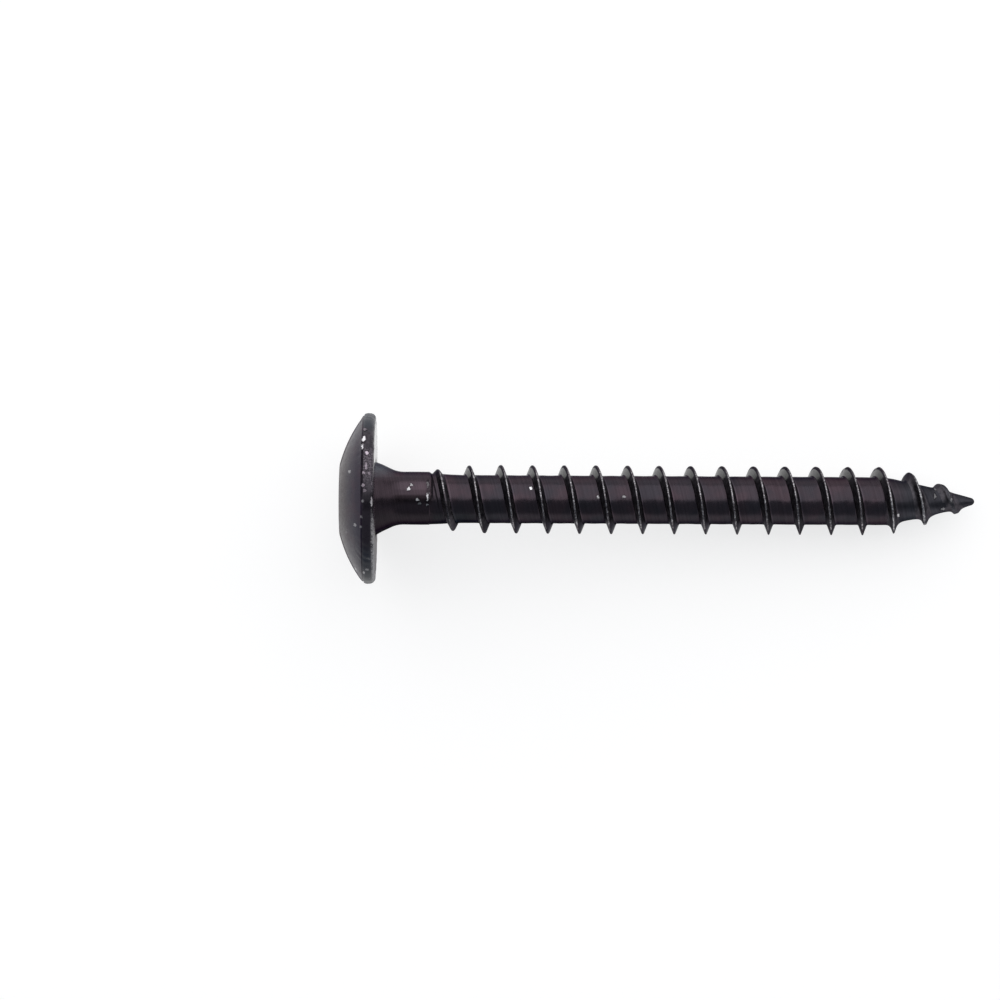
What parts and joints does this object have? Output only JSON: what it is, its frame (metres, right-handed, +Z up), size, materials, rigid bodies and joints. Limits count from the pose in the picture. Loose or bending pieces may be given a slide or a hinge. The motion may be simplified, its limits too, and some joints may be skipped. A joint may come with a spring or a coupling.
{
  "type": "hinge screw",
  "caption": "Wood screw with a broad low dome head, a lobed star-shaped driver recess, a flared neck, a coarse right-hand thread and a tapered point, in blackened steel.",
  "frame": {"origin": "centre of the bounding box in X and Y, at the height of the ground that the screw lies on", "axes": "+X from the head towards the tip, +Z up; the screw's own axis dips 5.8 degrees towards the tip, because it rests on the rim of its head and on a thread crest"},
  "size_m": [0.053, 0.0142, 0.0142],
  "materials": {
    "blackened_steel": "satin near-black coating on steel with a faint purple-brown tint, bright bare steel where the thread crests and the rim of the head are rubbed"
  },
  "bodies": {
    "root": {"screw": "blackened_steel"}
  },
  "joints": []
}
